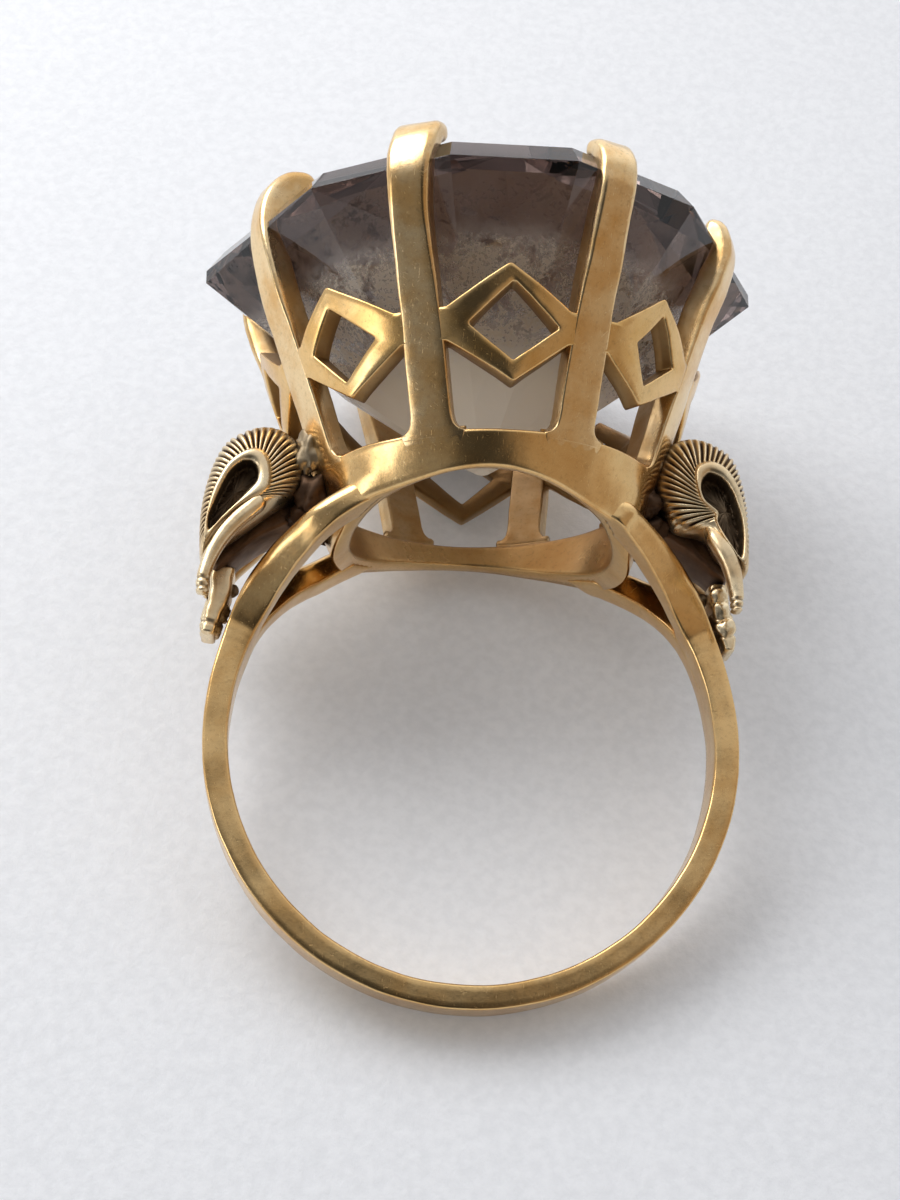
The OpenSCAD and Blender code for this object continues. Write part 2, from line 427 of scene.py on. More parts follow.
def quartz():
    """Smoky quartz, clear above, with a dusty film on the lower facets."""
    n = material_nodes("smoky_quartz")
    blotches = n.noise(1.1, 6, 0.7, 0.6)
    specks = n.noise(5.5, 5, 0.75, 0.3)
    height = n.multiply_add(blotches, 2.4, n.along("Z"))

    low = n.math("MULTIPLY", n.ramp(height, 17.9, 17.0), n.ramp(height, 14.4, 15.8, 0.9, 1.0))
    film = n.math("MULTIPLY", low, n.ramp(blotches, 0.35, 0.55))
    film = n.math("MULTIPLY", film, n.ramp(specks, 0.30, 0.62, 0.35, 1.0), clamp=True)
    film = n.math("MAXIMUM", film, n.math("MULTIPLY", n.ramp(specks, 0.66, 0.74), 0.35))
    film = n.math("MAXIMUM", film, n.ramp(height, 15.6, 14.0, 0.0, 0.85))
    film = n.math("MULTIPLY", film, n.ramp(height, 15.2, 17.0, 0.92, 0.68))

    tint = n.mix(n.ramp(n.along("Z"), 15.0, 17.0), (0.97, 0.93, 0.87), (0.66, 0.585, 0.575))
    dust = n.mix(n.ramp(height, 14.2, 16.0), (0.97, 0.88, 0.68), (0.58, 0.49, 0.35))
    glass = n.add(
        "ShaderNodeBsdfPrincipled", Base_Color=n.mix(film, tint, dust), IOR=1.54,
        Roughness=n.math("MULTIPLY", film, 0.6), Transmission_Weight=n.math("SUBTRACT", 1.0, film),
    )
    smoke = n.add("ShaderNodeVolumeAbsorption", Color=(0.48, 0.385, 0.35, 1), Density=118)
    n.links.new(smoke.outputs[0], n.show(glass).inputs["Volume"])
    return n.owner


PALE = (0.84, 0.57, 0.26)
WARM = (0.74, 0.45, 0.175)
# Brown of the soiling specks, and of the painted shade in recesses and crevices
DIRT_AND_SHADE = (0.10, 0.055, 0.028)
gold_hoop = gold("gold_hoop", PALE, WARM, DIRT_AND_SHADE, 0.45, 0.20)
gold_collet = gold("gold_collet", PALE, WARM, DIRT_AND_SHADE, 0.50, 0.21)
gold_claw = gold("gold_claw", (0.89, 0.67, 0.38), WARM, DIRT_AND_SHADE, 0.50, 0.21)
gold_lozenge = gold("gold_lozenge", PALE, (0.74, 0.45, 0.16), DIRT_AND_SHADE, 0.60, 0.22)
# Engraved gold: its near-black third colour paints the scroll hollows and rib grooves as soiling with painted
# shade
gold_engraved = gold(
    "gold_engraved", (0.90, 0.75, 0.50), (0.76, 0.56, 0.32), (0.045, 0.020, 0.014), 0.75, 0.28, wear=1.3,
)
# Near-black gold of the backplates and their solder balls: painted shade for the dark space between the
# scrolls
gold_oxidised = gold(
    "gold_oxidised", (0.20, 0.125, 0.08), (0.11, 0.065, 0.04), (0.03, 0.018, 0.013), 0.9, 0.45, wear=1.8,
)
smoky_quartz = quartz()


# ---------------------------------------------------------------- hoop and arms
def tube_point(angle, r, y):
    """Point on a cylinder round the finger; angle from +X towards +Z."""
    return Vector((r * math.cos(angle), y, r * math.sin(angle)))


# How much thicker the hoop is at its sides, and round the split, than under the finger
SIDE_GROWTH, SHOULDER_GROWTH = 0.09, 0.32
SHOULDER_AT, SHOULDER_SPREAD = 37, 13


def side_growth(angle):
    """Extra thickness of the hoop or an arm at an angle round the finger."""
    height = math.degrees(math.asin(math.sin(angle)))
    shoulder = math.exp(-((height - SHOULDER_AT) / SHOULDER_SPREAD) ** 2)
    return SIDE_GROWTH * (0.5 + 0.5 * math.sin(angle)) ** 0.7 + SHOULDER_GROWTH * shoulder


def hoop():
    """Plain hoop from one split, down under the finger, to the other, with rounded ends."""
    steps, end_steps, end_length = 180, 6, math.radians(5)
    start, stop = SPLIT_ANGLE, -math.pi - SPLIT_ANGLE
    end = []
    for k in range(1, end_steps + 1):
        t = k / end_steps
        end.append((end_length * t, math.sqrt(1 - (0.97 * t) ** 2)))
    places = [(start + past, share) for past, share in reversed(end)]
    places += [(between(start, stop, i / steps), 1.0) for i in range(steps + 1)]
    places += [(stop - past, share) for past, share in end]
    thick = [HOOP_THICK + side_growth(a) for a, _ in places]
    depths = [deep * (0.6 + 0.4 * share) for deep, (_, share) in zip(thick, places)]
    centres = [tube_point(a, FINGER_R + deep / 2, 0) for deep, (a, _) in zip(thick, places)]
    outs = [tube_point(a, 1, 0) for a, _ in places]
    sides = [Vector((0, 1, 0))] * len(places)
    widths = [HOOP_W * share for _, share in places]
    shape = Shape()
    bar(shape, centres, sides, outs, widths, depths, [HOOP_EDGE] * len(places))
    shape.piece("hoop_band", gold_hoop, ["hoop"])


def collet_radius(z):
    """Radius of the collet's outer face at a height."""
    return COLLET_R - COLLET_TAPER * (COLLET_Z - z)


def collet_depth(p):
    """How far a point lies inside the collet's outer face."""
    return collet_radius(p.z) - math.hypot(p.x - HEAD_X, p.y)


def arm_end(side):
    """Angle at which the middle of an arm meets the collet's outer face."""
    angle = math.radians(45)
    while True:
        p = tube_point(angle, (HOOP_R + FINGER_R) / 2, ARM_SPREAD)
        if collet_depth(Vector((side * p.x, p.y, p.z))) > 0:
            return angle
        angle += math.radians(0.25)


def held_in_collet(p):
    """The point, or the middle of the collet's wall if it lies further in."""
    further = collet_depth(p) - COLLET_WALL / 2
    if further <= 0:
        return p
    away = Vector((p.x - HEAD_X, p.y, 0)).normalized()
    return p + away * further


# Stations of an arm where it leaves the hoop: degrees past the split, then how much further out than
# half of the hoop, and how much wider than half of the hoop, it is
ARM_START = [
    (-12, -0.08, -0.14), (-9, -0.015, -0.02), (-7, -0.004, -0.006), (-4.5, 0, 0.005), (-2.5, 0.004, 0.010),
    (0, 0.02, 0.03), (3, 0.16, 0.04), (7, 0.46, 0.05), (12, 1.00, 0.10), (20, 1.95, 0.22),
]
# The same at its end: degrees into the collet, then beyond ARM_SPREAD and wider than ARM_W
ARM_FINISH = [(0, -0.06, 0.1), (5, -0.14, 0), (9, -0.26, -0.06), (13, -0.52, -0.16), (18, -1.05, -0.25)]
ARM_EDGE = 0.40
FACE_TURN = 2


def arm(side, face, name):
    """One arm of the split shoulder, from inside the hoop's end into the collet."""
    plan = [(SPLIT_ANGLE + math.radians(a), HOOP_W / 4 + y, HOOP_W / 2 + w) for a, y, w in ARM_START]
    plan.append((SPLIT_ANGLE + math.radians(26), ARM_SPREAD - 0.32, ARM_W - 0.09))
    plan += [(arm_end(side) + math.radians(a), ARM_SPREAD + y, ARM_W + w) for a, y, w in ARM_FINISH]
    curve = open_curve(plan, 9)
    centres, depths, radii = [], [], []
    for a, y, _ in curve:
        sunk = 0.25 * smooth((SPLIT_ANGLE - a - math.radians(3)) / math.radians(6)) - 0.008
        depth = HOOP_THICK + side_growth(a) - sunk
        p = tube_point(a, FINGER_R + depth / 2, face * y)
        centres.append(Vector((side * p.x, p.y, p.z)))
        depths.append(depth)
        radii.append(between(HOOP_EDGE, ARM_EDGE, smooth((a - SPLIT_ANGLE) / math.radians(14))))
    outs, sides = [], []
    for i, (a, _, _) in enumerate(curve):
        out = Vector((side * math.cos(a), 0, math.sin(a)))
        along = centres[min(i + 1, len(curve) - 1)] - centres[max(i - 1, 0)]
        square = along.cross(out).normalized()
        outs.append(out)
        sides.append((square + Vector((0, math.copysign(FACE_TURN, square.y), 0))).normalized())
    shape = Shape()
    bar(shape, centres, sides, outs, [w for _, _, w in curve], depths, radii, inner_radius=HOOP_EDGE)
    shape.verts = [held_in_collet(v) for v in shape.verts]
    shape.piece(name + "_bar", gold_hoop, [name])


# ---------------------------------------------------------------- collet
COLLET_TOP = COLLET_Z - 0.18
COLLET_EDGE = 0.13
ARM_SWELL = 0.34
SWELL_AT, SWELL_SPREAD = 36, 11
FRONT_DROP = 0.28


def joint_swell(azimuth):
    """1 where solder spreads round an arm's end, and less away from it."""
    to_side = abs(math.degrees(math.atan2(math.cos(azimuth), abs(math.sin(azimuth)))))
    return math.exp(-((to_side - SWELL_AT) / SWELL_SPREAD) ** 2)


def collet_low_edge(azimuth, inset):
    """Height at which the cone meets the finger, and a little less in front."""
    z = COLLET_Z - 1
    for _ in range(30):
        x = head_point(azimuth, collet_radius(z) - inset, z).x
        z = math.sqrt(FINGER_R ** 2 - x * x)
    front = smooth(3.2 * math.cos(azimuth) - 2.0)
    return z - front * (FRONT_DROP - 0.15 * inset / COLLET_WALL)


def collet_profile(azimuth):
    """Section of the collet: (distance inside the outer face, height, recess); the recess paints the top and
    the inner wall darker as painted shade.
    """
    rows, wall, top, edge = 10, COLLET_WALL, COLLET_TOP, COLLET_EDGE
    bevel = 0.3 * edge
    low_out, low_in = collet_low_edge(azimuth, 0), collet_low_edge(azimuth, wall)
    profile = [(0, between(low_out + edge, top - edge, i / rows), 0) for i in range(rows + 1)]
    profile += [(bevel, top - bevel, 0), (edge, top, 0.1)]
    profile += [(wall - edge, top, 0.3), (wall - bevel, top - bevel, 0.25)]
    profile += [(wall, between(top - edge, low_in + edge, i / rows), 0.24) for i in range(rows + 1)]
    profile += [(wall - bevel, low_in + bevel, 0.35), (wall - edge, low_in, 0.05)]
    profile += [(edge, low_out, 0), (bevel, low_out + bevel, 0)]
    return profile


def collet():
    """Conical band; its lower edge follows the finger."""
    columns = 240
    rings, marks = [], []
    for k in range(columns):
        azimuth = math.tau * k / columns
        profile = collet_profile(azimuth)
        ring = []
        for inset, z, _ in profile:
            swell = ARM_SWELL * joint_swell(azimuth) * smooth((9.4 - z) / 1.3) * (1 - inset / COLLET_WALL)
            ring.append(worn(head_point(azimuth, collet_radius(z) - inset + swell, z)))
        rings.append(ring)
        marks.append([dark for _, _, dark in profile])
    shape = Shape()
    shape.loft(rings, closed=True, recess=marks)
    shape.piece("collet", gold_collet, ["collet_band"])


# ---------------------------------------------------------------- claws
FULL_CLAWS = (1, 4, 5, 8)
# Faces of claws that were bent differently, from the seat to the tip
BENT_CLAWS = {
    1: [(9.15, 16.6), (9.45, 17.8), (9.40, 18.75), (8.9, 19.55), (7.85, 19.95)],
    2: [(9.3, 16.6), (9.65, 17.7), (9.66, 18.5), (9.4, 19.1), (8.75, 19.4)],
    7: [(9.08, 16.6), (9.35, 17.8), (9.35, 18.9), (9.0, 19.85), (8.2, 20.6), (7.0, 20.85)],
}
CLAW_W = 1.5
# Width at the tip, and how far the tip leans sideways
PLAIN_TIP = (1.45, 0.0)
CLAW_TIPS = {1: (1.45, 0.12), 2: (1.25, 0.0), 7: (1.05, 0.0), 8: (1.66, 0.40)}
# Thickness along a claw, and how much thicker some tips are
CLAW_DEPTH = [(0, 0.70), (0.15, 0.72), (0.75, 1.02), (1, 0.66)]
THICK_TIPS = {7: 0.45, 2: 0.2}
# How far below the collet's top, and how proud of its outer face, a claw starts
CLAW_ROOT = [(0.75, -0.12), (0.5, -0.015), (0.25, 0.006), (0, 0.008)]
# Width of a claw's fillet at heights above the collet
CLAW_FOOT = [
    (-0.75, 1.9), (-0.06, 2.36), (0.0, 2.04), (0.05, 1.86), (0.15, 1.68), (0.3, 1.56), (0.55, CLAW_W),
    (2.0, CLAW_W),
]


def claw_face(number):
    """Line of a claw's outer face as (distance from the head's axis, height)."""
    reach = CLAW_REACH if number in FULL_CLAWS else 0
    bent = BENT_CLAWS.get(number)
    face = [(collet_radius(COLLET_TOP - h) + proud, COLLET_TOP - h) for h, proud in CLAW_ROOT]
    for r, z in CLAW_FACE[:4] + bent if bent else CLAW_FACE:
        out = min(1, max(0, (z - LOZENGE_Z) / (GIRDLE_Z - LOZENGE_Z)))
        face.append((r + reach * out, z))
    return open_curve(face, 14)


def claw_width(z, t, tip_width):
    """Width of a claw at a height and a share of its length: a fillet, then a slow taper to the tip."""
    taper_from = 11
    if z < taper_from:
        width = table_value(CLAW_FOOT, z - COLLET_TOP)
    else:
        width = between(CLAW_W, 1.38, (z - taper_from) / 5)
    return between(width, tip_width, smooth((t - 0.62) / 0.2))


def claw(number):
    """Bar that rises from the collet, leans out and bends over the stone's edge."""
    face = claw_face(number)
    azimuth = (number - 0.5) * CLAW_STEP
    tip_width, lean = CLAW_TIPS.get(number, PLAIN_TIP)
    axis = head_point(azimuth, 0, 0)
    across = head_point(azimuth + math.pi / 2, 1, 0) - axis
    rings, marks = [], []
    for i, (r, z) in enumerate(face):
        t = i / (len(face) - 1)
        along_r, along_z = heading(face, i)
        out_r, out_z = along_z, -along_r
        out = head_point(azimuth, out_r, out_z) - axis
        rounding = math.sqrt(max(0.03, 1 - smooth((t - 0.94) / 0.06) ** 2 * 0.97))
        width = claw_width(z, t, tip_width) * rounding
        full_depth = table_value(CLAW_DEPTH, t) + THICK_TIPS.get(number, 0.0) * smooth((t - 0.7) / 0.25)
        middle = full_depth / 2
        depth = full_depth * (0.35 + 0.65 * rounding)
        edge = between(0.09, 0.26, smooth((t - 0.40) / 0.4))
        sideways = lean * smooth((t - 0.6) / 0.4)
        straightened = smooth((z - 13.4) / 2)
        # Painted shade: the back of the claw, towards the stone, is darker and rougher, less so higher up
        back_shade = 0.34 - 0.14 * smooth((z - 15.5) / 3)
        ring, mark = [], []
        for a, b in rounded_section(width / 2, depth / 2, edge):
            flat = head_point(azimuth, r, z) + across * (a + sideways) + out * (b - middle)
            curved = head_point(azimuth + a / r, r + out_r * (b - middle), z + out_z * (b - middle))
            ring.append(worn(curved.lerp(flat, straightened)))
            mark.append(back_shade * smooth((depth / 2 - b - 0.15) / 0.3))
        rings.append(ring)
        marks.append(mark)
    shape = Shape()
    shape.loft(rings, recess=marks)
    shape.piece(f"claw_bar_{number}", gold_claw, [f"claw_{number}"])


# ---------------------------------------------------------------- lozenges
def fillet(before, corner, after, radius, steps):
    """Points of an arc that rounds the corner between two straight lines."""
    corner, before, after = Vector(corner), Vector(before), Vector(after)
    u, v = (before - corner).normalized(), (after - corner).normalized()
    half = u.angle(v) / 2
    reach = radius / math.tan(half)
    centre = corner + (u + v).normalized() * radius / math.sin(half)
    start, stop = corner + u * reach - centre, corner + v * reach - centre
    points = []
    for i in range(steps + 1):
        spoke = start.normalized().slerp(stop.normalized(), i / steps) * radius
        points.append(tuple(centre + spoke))
    return points


def resample(points, count):
    """The same open line with that many points at even distances."""
    lengths = [0.0]
    for a, b in zip(points, points[1:]):
        lengths.append(lengths[-1] + math.dist(a, b))
    result, k = [], 0
    for i in range(count):
        want = lengths[-1] * i / (count - 1)
        while k < len(points) - 2 and lengths[k + 1] < want:
            k += 1
        t = (want - lengths[k]) / (lengths[k + 1] - lengths[k])
        (x0, y0), (x1, y1) = points[k], points[k + 1]
        result.append((between(x0, x1, t), between(y0, y1, t)))
    return result


# Corners of the windows (left, top, right, low) and of the frames (top, low); the front three are uneven
PLAIN_LOZENGE = ((-1.45, 0), (0, 1.35), (1.45, 0), (0, -1.3)), (0, 2.1), (0, -2.1)
CUT_LOZENGES = {
    1: (((-1.42, -0.03), (0.14, 1.46), (1.80, -0.05), (0.15, -1.28)), (0.0, 2.1), (0.17, -2.02)),
    2: (((-1.05, 0.15), (0.08, 1.52), (1.36, 0.03), (-0.28, -1.2)), (-0.05, 2.12), (-0.22, -1.9)),
    8: (((-1.60, 0.05), (-0.45, 1.36), (1.30, -0.12), (-0.22, -1.34)), (-0.38, 2.16), (-0.12, -1.95)),
}
# Where a frame runs into the claws: distance from its middle, and half of its height there
CLAW_SIDE = 2.38
LEDGE = 0.545
END_STEPS, SIDE_STEPS = 7, 28


def lozenge_section():
    """Section of a frame: place across it as a share of its width and a distance, depth and recess; the
    recess paints the walls and the back, towards the stone, darker as painted shade.
    """
    thick, edge = LOZENGE_THICK, 0.07
    bevel = 0.3 * edge
    return [
        (0, 0, thick - edge, 0.7), (0, 0, thick / 2, 0.62), (0, 0, edge + 0.08, 0.5), (0, 0, edge, 0.1),
        (0, bevel, bevel, 0), (0, edge, 0, 0), (0.33, 0, 0, 0), (0.5, 0, 0, 0), (0.67, 0, 0, 0),
        (1, -edge, 0, 0), (1, -bevel, bevel, 0), (1, 0, edge, 0.1), (1, 0, edge + 0.08, 0.45),
        (1, 0, thick / 2, 0.6), (1, 0, thick - edge, 0.7), (1, -edge, thick, 0.7), (0, edge, thick, 0.7),
    ]


def frame_quarter(side, vertex):
    """Outline of a quarter of the frame, from inside the claw to the top or low corner."""
    up = math.copysign(1, vertex[1])
    t = (LEDGE - 0.42) / (abs(vertex[1]) - 0.42)
    notch = (between(side * CLAW_SIDE, vertex[0], t), up * LEDGE)
    end = [(side * 2.60, 0), (side * 2.60, up * 0.40), (side * 2.45, up * LEDGE)]
    edge = [end[-1]] + fillet((side * 3, up * LEDGE), notch, vertex, 0.25, 10)
    edge += fillet(notch, vertex, (-notch[0], notch[1]), 0.13, 8)[:5]
    return resample(end, END_STEPS)[:-1] + resample(edge, SIDE_STEPS)


def window_quarter(before, corner, after, beyond):
    """Outline of a quarter of the window, from the middle of one rounded corner to the next."""
    bend = fillet(before, corner, after, 0.09, 8)[4:]
    straight = [bend[-1]] + fillet(corner, after, beyond, 0.09, 8)[:5]
    return resample(bend, END_STEPS)[:-1] + resample(straight, SIDE_STEPS)


def lozenge(number):
    """Pierced lozenge frame, curved with the head, whose sides flow into the claws."""
    (left, top, right, low), frame_top, frame_low = CUT_LOZENGES.get(number, PLAIN_LOZENGE)
    loop_out = frame_quarter(1, frame_top)[:-1] + frame_quarter(-1, frame_top)[:0:-1]
    loop_out += frame_quarter(-1, frame_low)[:-1] + frame_quarter(1, frame_low)[:0:-1]
    loop_in = window_quarter(low, right, top, left)[:-1] + window_quarter(low, left, top, right)[:0:-1]
    loop_in += window_quarter(top, left, low, right)[:-1] + window_quarter(top, right, low, left)[:0:-1]
    turn = (number - 1) * CLAW_STEP
    section = lozenge_section()
    rings = []
    for (xi, zi), (xo, zo) in zip(loop_in, loop_out):
        width = math.dist((xi, zi), (xo, zo))
        ring = []
        for share, distance, depth, _ in section:
            t = share + distance / width
            x, v = between(xi, xo, t), between(zi, zo, t)
            z = LOZENGE_Z + v * math.cos(LOZENGE_LEAN)
            r = LOZENGE_R + v * between(math.sin(LOZENGE_LEAN), CLAW_SLOPE, smooth(abs(x) / CLAW_SIDE))
            sink = 0.02 * smooth((abs(x) - CLAW_SIDE) / 0.1)
            ring.append(worn(head_point(turn + x / r, r - depth - sink, z)))
        rings.append(ring)
    marks = [[dark for _, _, _, dark in section]] * len(rings)
    shape = Shape()
    shape.loft(rings, closed=True, recess=marks)
    shape.piece(f"lozenge_frame_{number}", gold_lozenge, [f"lozenge_{number}"])


# ---------------------------------------------------------------- stone
# Corners of half the outline: degrees from the front, and distance as a share of STONE_HALF
STONE_CORNERS = [(13, 0.95), (45, 0.925), (90, 1), (135, 0.925), (167, 0.95)]


def stone_outline(scale, between_corners=False):
    """Corners of the stone's outline, or the middles of its edges, as (x, y)."""
    right = [(math.radians(a), f) for a, f in STONE_CORNERS]
    ring = right + [(math.tau - a, f) for a, f in reversed(right)]
    points = [(STONE_HALF * scale * f * math.sin(a), -STONE_HALF * scale * f * math.cos(a)) for a, f in ring]
    if between_corners:
        following = points[1:] + points[:1]
        points = [((x0 + x1) / 2, (y0 + y1) / 2) for (x0, y0), (x1, y1) in zip(points, following)]
    return points


def stone():
    """Faceted stone: table, two rows of crown facets, girdle and four rows of pavilion facets."""
    bottom = GIRDLE_Z - GIRDLE_THICK
    depth = bottom - CULET_Z
    # Height, share of the outline's size, and whether the corners lie between those of the outline
    tiers = [
        (TABLE_Z, 0.62, False), (TABLE_Z - 0.35, 0.80, True), (GIRDLE_Z + 0.85, 0.935, False),
        (GIRDLE_Z, 1, False), (bottom, 1, False),
        (bottom - 0.18 * depth, 0.875, True), (bottom - 0.38 * depth, 0.71, False),
        (bottom - 0.60 * depth, 0.50, True), (bottom - 0.80 * depth, 0.275, False), (CULET_Z, 0.03, False),
    ]
    bm = bmesh.new()
    turn = Matrix.Rotation(HEAD_TURN, 3, "Z")
    for z, scale, mid in tiers:
        for x, y in stone_outline(scale, mid):
            if z == bottom and abs(x) > 0.99 * STONE_HALF:
                bm.verts.new((turn @ Vector((x, y, GIRDLE_Z - BLUNT_CORNER)) + Vector((HEAD_X, 0, 0))) * MM)
            p = turn @ Vector((x, y, z))
            bm.verts.new((p + Vector((HEAD_X, 0, 0))) * MM)
    bmesh.ops.convex_hull(bm, input=bm.verts)
    loose = [v for v in bm.verts if not v.link_faces]
    bmesh.ops.delete(bm, geom=loose, context="VERTS")
    bmesh.ops.dissolve_limit(bm, angle_limit=math.radians(1.5), verts=bm.verts, edges=bm.edges)
    bmesh.ops.recalc_face_normals(bm, faces=bm.faces)
    mesh = bpy.data.meshes.new("stone")
    bm.to_mesh(mesh)
    bm.free()
    mesh.materials.append(smoky_quartz)
    obj = bpy.data.objects.new("faceted_stone", mesh)
    bpy.context.scene.collection.objects.link(obj)
    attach(obj, "root")
    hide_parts("quartz_stone")


# ---------------------------------------------------------------- shoulder ornaments
# Stations round a scroll, in the side plane: edge of the hollow, edge of the rim, and outline
LEFT_SCROLL = [
    (9.45, 6.98, 9.56, 6.50, 9.66, 5.95), (9.45, 7.45, 9.58, 7.10, 9.78, 6.90),
    (9.25, 8.00, 9.42, 8.00, 9.76, 7.95), (9.00, 8.65, 9.15, 8.80, 9.58, 8.95),
    (8.70, 9.20, 8.78, 9.48, 9.30, 9.85), (8.35, 9.52, 8.30, 9.88, 8.85, 10.60),
    (8.05, 9.58, 7.92, 10.02, 8.10, 11.05), (7.85, 9.45, 7.60, 9.92, 7.30, 11.15),
    (7.76, 9.20, 7.40, 9.60, 6.60, 10.85), (7.76, 8.95, 7.32, 9.20, 6.20, 10.20),
    (7.85, 8.70, 7.32, 8.80, 6.12, 9.45), (8.10, 8.42, 7.50, 8.40, 6.35, 8.75),
    (8.45, 8.00, 8.32, 7.90, 7.25, 8.05), (8.97, 7.42, 8.91, 7.36, 8.45, 7.05),
    (9.28, 7.04, 9.24, 6.98, 9.05, 6.55),
]
RIGHT_SCROLL = [
    (9.43, 6.35, 9.58, 6.10, 9.72, 5.90), (9.55, 6.95, 9.70, 6.92, 9.86, 6.80),
    (9.53, 7.70, 9.71, 7.75, 9.88, 7.90), (9.40, 8.35, 9.61, 8.50, 9.86, 8.70),
    (9.18, 8.95, 9.40, 9.18, 9.73, 9.55), (8.87, 9.38, 9.02, 9.75, 9.45, 10.41),
    (8.48, 9.55, 8.50, 9.98, 8.75, 10.95), (8.24, 9.38, 8.02, 9.82, 7.95, 11.15),
    (8.13, 9.05, 7.93, 9.45, 7.22, 10.89), (8.14, 8.72, 7.99, 8.95, 6.78, 10.15),
    (8.27, 8.42, 8.12, 8.50, 6.62, 9.35), (8.50, 8.22, 8.36, 8.22, 6.75, 8.60),
    (8.70, 8.00, 8.58, 7.97, 7.30, 7.72), (8.67, 7.60, 8.62, 7.58, 8.35, 7.40),
    (9.07, 6.85, 9.03, 6.81, 8.80, 6.68),
]
# Stations of the stems: (x, z, width, how far back from the front face)
LEFT_STEM = [
    (7.62, 8.20, 0.50, 0.10), (7.78, 8.03, 0.62, 0.05), (8.18, 7.65, 0.62, 0.0), (8.62, 7.19, 0.60, 0.0),
    (9.02, 6.66, 0.57, 0.0), (9.30, 6.13, 0.52, 0.0), (9.50, 5.57, 0.46, 0.0), (9.60, 5.09, 0.46, 0.0),
    (9.58, 4.60, 0.44, 0.0),
]
RIGHT_STEM = [
    (8.45, 7.85, 0.50, 0.34), (8.50, 7.57, 0.56, 0.28), (8.60, 7.19, 0.62, 0.12), (8.84, 6.74, 0.66, 0.02),
    (9.07, 6.26, 0.66, 0.0), (9.19, 5.70, 0.58, 0.0), (9.25, 5.14, 0.50, 0.0), (9.25, 4.69, 0.44, 0.0),
    (9.22, 4.30, 0.34, 0.0),
]
# Points between two stations, the hollow's depth and middle, and the station of the last rib, left and right
SCROLL_STEPS = 42
HOLLOW_DEPTH = 0.95
HOLLOW_MIDDLE = {-1: (8.60, 8.60), 1: (9.10, 8.30)}
LAST_RIB = {-1: 11.7, 1: 12.7}
RIB_PITCH = 0.20
RIB_DEPTH = 0.13
# Solder between a scroll and the collet: x, z, and radii along x and z
SCROLL_SOLDER = {-1: (-5.95, 10.15, 0.46, 0.85), 1: (6.62, 10.45, 0.32, 0.62)}


def leaf_section(station, middle, groove, hemmed):
    """Section of a leaf from its hollow over the ribs to its back: (x, y, z, recess, roughness); the recess
    darkens the hollow and the rib grooves as soiling with painted shade.
    """
    hx, hz, rx, rz, ox, oz = station
    span = max(1e-3, math.dist((rx, rz), (ox, oz)))
    ux, uz = (ox - rx) / span, (oz - rz) / span
    floor_y = SCROLL_FAR - HOLLOW_DEPTH
    section = []
    for f in (0.04, 0.3, 0.55, 0.78, 0.93):
        y = floor_y + 0.18 * math.cos(f * math.pi / 2)
        section.append((between(middle[0], hx, f), y, between(middle[1], hz, f), 0.84, 0.10))
    section += [(hx, SCROLL_FAR - depth, hz, 0.80, 0.03) for depth in (0.8, 0.5, 0.22)]
    section.append((hx, SCROLL_FAR - 0.05, hz, 0.1, 0))
    section += [(between(hx, rx, f), SCROLL_FAR + 0.01, between(hz, rz, f), 0, 0) for f in (0.3, 0.75)]
    section.append((rx, SCROLL_FAR - 0.05, rz, 0.1, 0))
    for f in (0.03, 0.1, 0.2, 0.32, 0.45, 0.58, 0.7, 0.81, 0.9, 0.96, 1.0):
        lift = math.sqrt(max(0.0, 1 - f * f))
        rib = groove * smooth(f / 0.08) * (1 - 0.85 * smooth((f - 0.86) / 0.08) * hemmed)
        cut = RIB_DEPTH * rib
        x, z = between(rx, ox, f) - ux * cut * f, between(rz, oz, f) - uz * cut * f
        section.append((x, floor_y + 0.87 * lift - cut * lift - 0.03, z, 1.35 * rib, 0))
    rib = groove * (1 - 0.85 * hemmed)
    for y, tuck in ((1.65, 0.0), (1.4, 0.02), (1.2, 0.06), (1.1, 0.16)):
        cut = RIB_DEPTH * rib * smooth((y - 1.15) / 0.3) + tuck
        section.append((ox - ux * cut, y, oz - uz * cut, 1.2 * rib, 0))
    return section


def leaf(shape, side, face):
    """Ear-shaped leaf with a hollow darkened as soiling with painted shade, a plain rim and engraved ribs."""
    travelled, before = 0.0, None
    rings, marks = [], []
    for i, station in enumerate(closed_curve(LEFT_SCROLL if side < 0 else RIGHT_SCROLL, SCROLL_STEPS)):
        _, _, rx, rz, ox, oz = station
        here = between(rx, ox, 0.4), between(rz, oz, 0.4)
        travelled += math.dist(before, here) if before else 0
        before = here
        number = i / SCROLL_STEPS
        ribbed = smooth((number - 0.4) / 0.5) * smooth((LAST_RIB[side] - number) / 0.5)
        uneven = 0.22 * noise.noise(Vector((number * 1.7, side * 3.0, 0.5)))
        groove = (0.5 + 0.5 * math.cos(math.tau * (travelled / RIB_PITCH + uneven))) ** 1.6 * ribbed
        groove *= 0.8 + 0.4 * noise.noise(Vector((number * 6, side, face)))
        ring, mark = [], []
        for x, y, z, dark, rough in leaf_section(station, HOLLOW_MIDDLE[side], groove, smooth(number - 5.5)):
            p = Vector((side * x, face * y, z))
            if rough:
                p += noise.noise_vector(p * 5.5) * rough + noise.noise_vector(p * 14) * rough * 0.4
            ring.append(worn(p, 0.012))
            mark.append(dark)
        rings.append(ring)
        marks.append(mark)
    shape.wrap(rings, marks)


